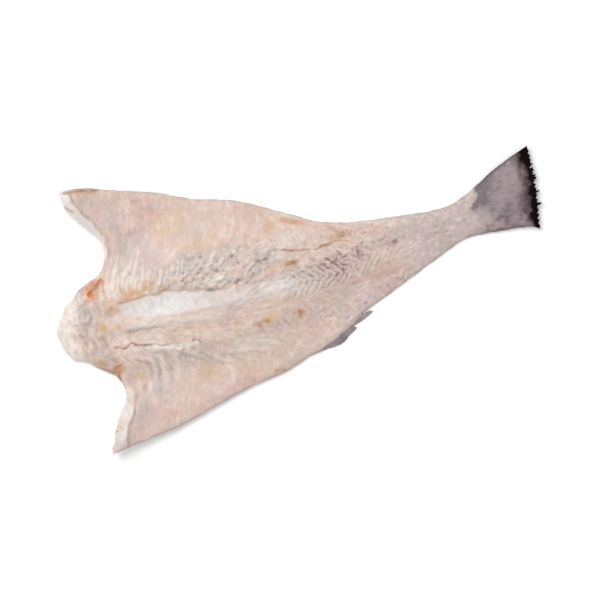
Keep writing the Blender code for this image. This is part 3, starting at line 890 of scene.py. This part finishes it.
def fish_mesh():
    cut, cut_faces = sheet(FLESH_STEP)
    skin, skin_faces = sheet(SKIN_STEP)
    count = len(rim)
    cut_z, skin_z = look(top, *cut.T), np.maximum(look(skin_height, *skin.T), 0)
    cut_z[:count], skin_z[:count] = rim[:, 2], rim[:, 3]
    ring = np.arange(count)
    after = (ring + 1) % count
    wall = np.column_stack([after, ring, ring + len(cut), after + len(cut)])
    if not runs_left(rim):
        wall = wall[:, ::-1]
    faces = [*cut_faces.tolist(), *(skin_faces[:, ::-1] + len(cut)).tolist(), *wall.tolist()]
    mesh = bpy.data.meshes.new("fish")
    points = np.vstack([world(*cut.T, cut_z), world(*skin.T, skin_z)])
    mesh.from_pydata(points.tolist(), [], faces)
    mesh.shade_smooth()
    mesh.set_sharp_from_angle(angle=math.radians(60))
    places = np.vstack([cut, skin])
    add_map(mesh, places, len(cut), 3 * (len(cut_faces) + len(skin_faces)))
    for name, field in {**paint, **skin_paint}.items():
        attribute = mesh.attributes.new(name, "FLOAT", "POINT")
        attribute.data.foreach_set("value", look(field, *places.T).astype(np.float32))
    side = np.zeros(len(places), np.float32)
    side[len(cut):] = 1
    mesh.attributes.new("skin", "FLOAT", "POINT").data.foreach_set("value", side)
    return mesh


# ---------------------------------------------------------------- materials

def node(tree, kind, inputs=None, **settings):
    """A new node with these settings, and with these values or links on its inputs."""
    made = tree.nodes.new(kind)
    for name, value in settings.items():
        setattr(made, name, value)
    for name, value in (inputs or {}).items():
        if isinstance(value, bpy.types.NodeSocket):
            tree.links.new(value, made.inputs[name])
        else:
            made.inputs[name].default_value = value
    return made


def colour(value):
    return (*value, 1.0) if isinstance(value, tuple) else value


def mix(tree, share, first, second):
    inputs = {0: share, 6: colour(first), 7: colour(second)}
    return node(tree, "ShaderNodeMix", inputs, data_type="RGBA").outputs[2]


def times_plus(tree, value, factor, offset, clamp=False):
    inputs = {0: value, 1: factor, 2: offset}
    return node(tree, "ShaderNodeMath", inputs, operation="MULTIPLY_ADD", use_clamp=clamp).outputs[0]


def point_value(tree, name):
    return node(tree, "ShaderNodeAttribute", attribute_name=name).outputs["Fac"]


def grain(tree, per_metre, detail=2.0):
    place = node(tree, "ShaderNodeTexCoord").outputs["Object"]
    inputs = {"Vector": place, "Scale": per_metre, "Detail": detail}
    return node(tree, "ShaderNodeTexNoise", inputs).outputs["Fac"]


def shader_of(name):
    """(material, node tree, Principled BSDF) of a new material."""
    material = bpy.data.materials.new(name)
    material.use_nodes = True
    return material, material.node_tree, material.node_tree.nodes["Principled BSDF"]


def skin_colour(tree):
    """Mottled olive-grey back, fading to a pale belly, with a light line along each side."""
    back = mix(tree, point_value(tree, "back"), SKIN_BELLY, SKIN_BACK)
    blotches = times_plus(tree, grain(tree, 60, 5), 4.5, -2.1, True)
    spots = times_plus(tree, grain(tree, 210, 3), 6.0, -3.1, True)
    mottles = node(tree, "ShaderNodeMath", {0: blotches, 1: spots}, operation="MAXIMUM").outputs[0]
    inputs = {0: mottles, 1: point_value(tree, "back")}
    shown = node(tree, "ShaderNodeMath", inputs, operation="MULTIPLY").outputs[0]
    mottled = mix(tree, times_plus(tree, shown, 0.75, 0.04, True), back, SKIN_MOTTLE)
    lined = mix(tree, times_plus(tree, point_value(tree, "lateral"), 0.55, 0.0), mottled, SKIN_BELLY)
    return mix(tree, times_plus(tree, point_value(tree, "black"), 1.0, 0.0, True), lined, PAINTS["black"])


TONE = 0.038  # how much the tone, with its painted shade in the hollows, lightens or darkens the flesh


def cod_material():
    """Dried, salted flesh on the cut side and fish skin beneath."""
    material, tree, shader = shader_of("dried_cod")
    uneven = times_plus(tree, grain(tree, 240, 3), 1.1, 0.45)
    painted = FLESH
    for name, tint in PAINTS.items():
        product = node(tree, "ShaderNodeMath", {0: point_value(tree, name), 1: uneven}, operation="MULTIPLY")
        product.use_clamp = True
        painted = mix(tree, product.outputs[0], painted, tint)
    fine = times_plus(tree, grain(tree, 1100, 2), 0.10, 0.95)
    # The tone lightens or darkens the paints; where it darkens the hollows it is painted shade
    bright = times_plus(tree, point_value(tree, "tone_and_hollow_shade"), TONE, fine)
    lit = node(tree, "ShaderNodeVectorMath", {0: painted, "Scale": bright}, operation="SCALE")
    final = mix(tree, point_value(tree, "skin"), lit.outputs[0], skin_colour(tree))
    tree.links.new(final, shader.inputs["Base Color"])
    tree.links.new(times_plus(tree, grain(tree, 150, 3), 0.25, 0.42), shader.inputs["Roughness"])
    gloss = times_plus(tree, point_value(tree, "black"), -0.3, 0.35, True)
    tree.links.new(gloss, shader.inputs["Specular IOR Level"])
    shader.inputs["Subsurface Weight"].default_value = 0.12
    shader.inputs["Subsurface Scale"].default_value = 0.002
    inputs = {"Strength": 0.25, "Distance": 0.0004, "Height": grain(tree, 700, 3)}
    bump = node(tree, "ShaderNodeBump", inputs)
    tree.links.new(bump.outputs["Normal"], shader.inputs["Normal"])
    return material


def plain_material(name, first, second, per_metre, roughness):
    """Two colours that run into each other."""
    material, tree, shader = shader_of(name)
    share = times_plus(tree, grain(tree, per_metre, 2), 2.0, -0.5, True)
    tree.links.new(mix(tree, share, first, second), shader.inputs["Base Color"])
    shader.inputs["Roughness"].default_value = roughness
    shader.inputs["Specular IOR Level"].default_value = 0.5 - 0.5 * roughness
    return material


# ---------------------------------------------------------------- loose pieces

def placed(name, mesh, material):
    """The mesh as a piece that rides on the fish's body."""
    mesh.materials.append(material)
    piece = bpy.data.objects.new(name, mesh)
    bpy.context.scene.collection.objects.link(piece)
    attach(piece, "root")
    return piece


def tubes(name, paths, sides=5, flat=0.55):
    """One mesh of tapering strands. A path is an array with rows (s, w, height, radius)."""
    points, faces = [], []
    turns = np.arange(sides) * 2 * math.pi / sides
    for path in paths:
        heading = np.gradient(path[:, :2], axis=0)
        heading /= np.linalg.norm(heading, axis=1)[:, None] + 1e-9
        start = len(points)
        for (s, w, height, radius), (hs, hw) in zip(path, heading):
            across, up = radius * np.cos(turns), radius * flat * np.sin(turns)
            points += world(s - across * hw, w + across * hs, height + up).tolist()
        for k in range(len(path) - 1):
            for i in range(sides):
                j = (i + 1) % sides
                a = start + k * sides
                faces.append((a + i, a + j, a + sides + j, a + sides + i))
        faces.append(tuple(range(start + sides - 1, start - 1, -1)))
        faces.append(tuple(range(len(points) - sides, len(points))))
    mesh = bpy.data.meshes.new(name)
    mesh.from_pydata(points, [], faces)
    mesh.shade_smooth()
    return mesh


STRAND_SUNK = 0.35  # how deep a strand's ends lie in the flesh
STRAND_LENGTHS, STRAND_RADII, STRAND_LIFTS = (5, 15), (0.3, 0.65), (0.1, 0.32)


def strand(rng, s, w, length, radius, lift):
    """A strand that follows the fibres over the cut side, sunk in it at its ends."""
    heading = float(look(angle, np.array([s]), np.array([w]))[0]) + rng.uniform(-0.25, 0.25)
    count = max(5, round(length / 1.6))
    step = length / count
    rows = []
    for k in range(count + 1):
        share = k / count
        surface = float(look(top, np.array([s]), np.array([w]))[0])
        height = surface - STRAND_SUNK + lift * math.sin(math.pi * share)
        wide = radius * math.sin(math.pi * (0.08 + 0.84 * share)) ** 0.6
        rows.append((s, w, min(height, HEIGHT - radius - 0.1), wide))
        heading += rng.uniform(-0.16, 0.16)
        s, w = s + step * math.cos(heading), w + step * math.sin(heading)
    return np.array(rows)


STRAND_PLACES = [  # (s, w, spread along, spread across, how many)
    (190, 28, 60, 14, 55), (240, 24, 40, 12, 26), (120, 36, 40, 8, 14), (40, 0, 16, 34, 22),
    (130, -48, 30, 4, 10), (230, -56, 45, 14, 16), (310, 0, 30, 12, 12),
]


def torn_strands():
    rng = random.Random(17)
    paths = []
    for s, w, along, across, count in STRAND_PLACES:
        for _ in range(count):
            place = s + rng.gauss(0, 0.5) * along, w + rng.gauss(0, 0.5) * across
            length, radius = rng.uniform(*STRAND_LENGTHS), rng.uniform(*STRAND_RADII)
            paths.append(strand(rng, *place, length, radius, rng.uniform(*STRAND_LIFTS)))
    return tubes("torn_strands", paths)


SPIKES_FROM_W, SPIKES_TO_W = -27.0, 55.0
SPIKE_GAPS = (3, 4, 6, 9, 14, 20)  # points of the outline from one spike to the next
SPIKE_LENGTHS, SPIKE_RADII = (1.5, 6.5), (1.1, 2.8)
SPIKE_ROOT = 6.0  # how far a spike reaches into the fin
FRAYED = 9.0  # depth of the tail fin's ragged rear edge


def rear_limit(w):
    """Where the tail fin's ragged rear edge begins, for each w."""
    (s0, w0), (s1, w1) = TAIL_TIPS
    return np.where((w > w0) & (w < w1), np.interp(w, [w0, w1], [s0, s1]) - FRAYED, FAR)


def fin_spikes():
    """Dry ends of fin rays that stick out of the tail fin's frayed rear edge."""
    rng = random.Random(23)
    rim_w = rim[:, 1]
    rear = rim[(rim[:, 0] > rear_limit(rim_w)) & (rim_w > SPIKES_FROM_W) & (rim_w < SPIKES_TO_W)]
    paths = []
    k = 1
    while k < len(rear):
        s, w, high, low = rear[k]
        k += rng.choice(SPIKE_GAPS)
        length = rng.uniform(*SPIKE_LENGTHS)
        lean = math.atan2(w - FIN_ORIGIN[1], s - FIN_ORIGIN[0]) + rng.uniform(-0.25, 0.25)
        length = min(length, (LENGTH - 0.3 - s) / math.cos(lean))
        run = -SPIKE_ROOT + (SPIKE_ROOT + length) * np.array([0, 0.3, 0.6, 0.8, 0.9, 0.96, 1.0])
        radius = rng.uniform(*SPIKE_RADII) * np.array([0.8, 1, 0.95, 0.75, 0.5, 0.3, 0.12])
        height = np.full(len(run), (high + low) / 2 + 0.2)
        spots = (s + run * math.cos(lean), w + run * math.sin(lean), height, radius)
        paths.append(np.column_stack(spots))
    return tubes("fin_spikes", paths, flat=0.2)


CUBE = np.array([(x, y, z) for x in (-1, 1) for y in (-1, 1) for z in (-1, 1)]) / 2
CUBE_FACES = ((0, 1, 3, 2), (4, 6, 7, 5), (0, 4, 5, 1), (2, 3, 7, 6), (0, 2, 6, 4), (1, 5, 7, 3))


GRAINS = 170
GRAIN_SIZES = (0.5, 1.25)


def salt_grains():
    """A few crystals of salt that cling to the cut side."""
    rng = random.Random(31)
    points, faces = [], []
    while len(points) < len(CUBE) * GRAINS:
        s, w = rng.uniform(4, 470), rng.uniform(-120, 140)
        here = np.array([s]), np.array([w])
        if look(to_edge, *here)[0] < 4 or look(torn + nape + 0.04, *here)[0] < rng.uniform(0, 1.1):
            continue
        size = rng.uniform(*GRAIN_SIZES) * np.array([rng.uniform(0.7, 1.2) for _ in range(3)])
        turn = Euler([rng.uniform(0, math.pi) for _ in range(3)]).to_matrix()
        corners = (CUBE * size) @ np.array(turn).T
        height = min(float(look(top, *here)[0]) + 0.2, HEIGHT - 1.0)
        start = len(points)
        points += world(s + corners[:, 0], w + corners[:, 1], height + corners[:, 2]).tolist()
        faces += [tuple(start + i for i in face) for face in CUBE_FACES]
    mesh = bpy.data.meshes.new("salt_grains")
    mesh.from_pydata(points, [], faces)
    return mesh


fish = placed("fish", fish_mesh(), cod_material())
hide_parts(NODE)
strand_look = plain_material("torn_flesh", PAINTS["pale"], PAINTS["grey"], 90, 0.6)
placed("torn_strands", torn_strands(), strand_look)
tip_look = plain_material("fin_tips", PAINTS["black"], FIN_TIPS, 120, 0.9)
placed("fin_spikes", fin_spikes(), tip_look)
salt_look = plain_material("salt", SALT, PAINTS["pale"], 300, 0.35)
placed("salt_grains", salt_grains(), salt_look)


# ---------------------------------------------------------------- floor, light and camera

FLOOR_SIZE = 6.0
FLOOR_GLOW = 0.12  # lifts the lit floor to white and leaves the fish's shadow on it
LAMP_SIZE, LAMP_AWAY, LAMP_POWER = 2.4, 3.5, 62.0
LAMP_FROM = (-0.40, 0.60)  # where the lamp stands beside the fish, as shares of its distance
WORLD_LIGHT = 0.64
FRAME_WIDTH = 720 * MM  # what the picture shows, at the fish
CAMERA_AWAY = 4.0
CAMERA_ROLL = 16.9  # degrees: the fish rises to the right
VIEW_S, VIEW_W = 291.5, -37.4  # the place in the middle of the picture


def add_floor():
    mesh = bpy.data.meshes.new("floor")
    half = FLOOR_SIZE / 2
    corners = [(-half, -half), (half, -half), (half, half), (-half, half)]
    mesh.from_pydata([(x, y, LOW.z - 0.2 * MM) for x, y in corners], [], [(0, 1, 2, 3)])
    material, tree, shader = shader_of("pale_floor")
    shader.inputs["Base Color"].default_value = (0.97, 0.97, 0.97, 1)
    shader.inputs["Roughness"].default_value = 0.9
    shader.inputs["Specular IOR Level"].default_value = 0.0
    seen = node(tree, "ShaderNodeLightPath")
    seen_or_mirrored = node(tree, "ShaderNodeMath", {
        0: seen.outputs["Is Camera Ray"], 1: seen.outputs["Is Glossy Ray"],
    }, operation="ADD").outputs[0]
    seen_at_all = node(tree, "ShaderNodeMath", {
        0: seen_or_mirrored, 1: seen.outputs["Is Transmission Ray"],
    }, operation="ADD", use_clamp=True).outputs[0]
    shader.inputs["Emission Color"].default_value = (1, 1, 1, 1)
    tree.links.new(times_plus(tree, seen_at_all, FLOOR_GLOW, 0.0), shader.inputs["Emission Strength"])
    mesh.materials.append(material)
    floor = bpy.data.objects.new("floor", mesh)
    bpy.context.scene.collection.objects.link(floor)


def add_lights():
    lamp = bpy.data.lights.new("soft_lamp", "AREA")
    lamp.shape, lamp.size, lamp.energy = "DISK", LAMP_SIZE, LAMP_POWER
    holder = bpy.data.objects.new("soft_lamp", lamp)
    place = Vector((*LAMP_FROM, 1.0)).normalized() * LAMP_AWAY
    holder.location = place
    holder.rotation_euler = place.to_track_quat("Z", "Y").to_euler()
    bpy.context.scene.collection.objects.link(holder)
    scene_world = bpy.data.worlds.new("studio")
    scene_world.use_nodes = True
    background = scene_world.node_tree.nodes["Background"]
    background.inputs["Color"].default_value = (1, 1, 1, 1)
    background.inputs["Strength"].default_value = WORLD_LIGHT
    bpy.context.scene.world = scene_world


def add_camera():
    camera = bpy.data.cameras.new("camera")
    camera.sensor_width = 36.0
    camera.lens = camera.sensor_width * CAMERA_AWAY / FRAME_WIDTH
    camera.clip_end = 20.0
    holder = bpy.data.objects.new("camera", camera)
    x, y, _ = world(np.array([VIEW_S]), np.array([VIEW_W]), np.array([0.0]))[0]
    holder.location = (x, y, HIGH.z / 2 + CAMERA_AWAY)
    holder.rotation_euler = (0, 0, -math.radians(CAMERA_ROLL))
    bpy.context.scene.collection.objects.link(holder)
    bpy.context.scene.camera = holder


add_floor()
add_lights()
add_camera()
bpy.context.scene.view_settings.view_transform = "Standard"
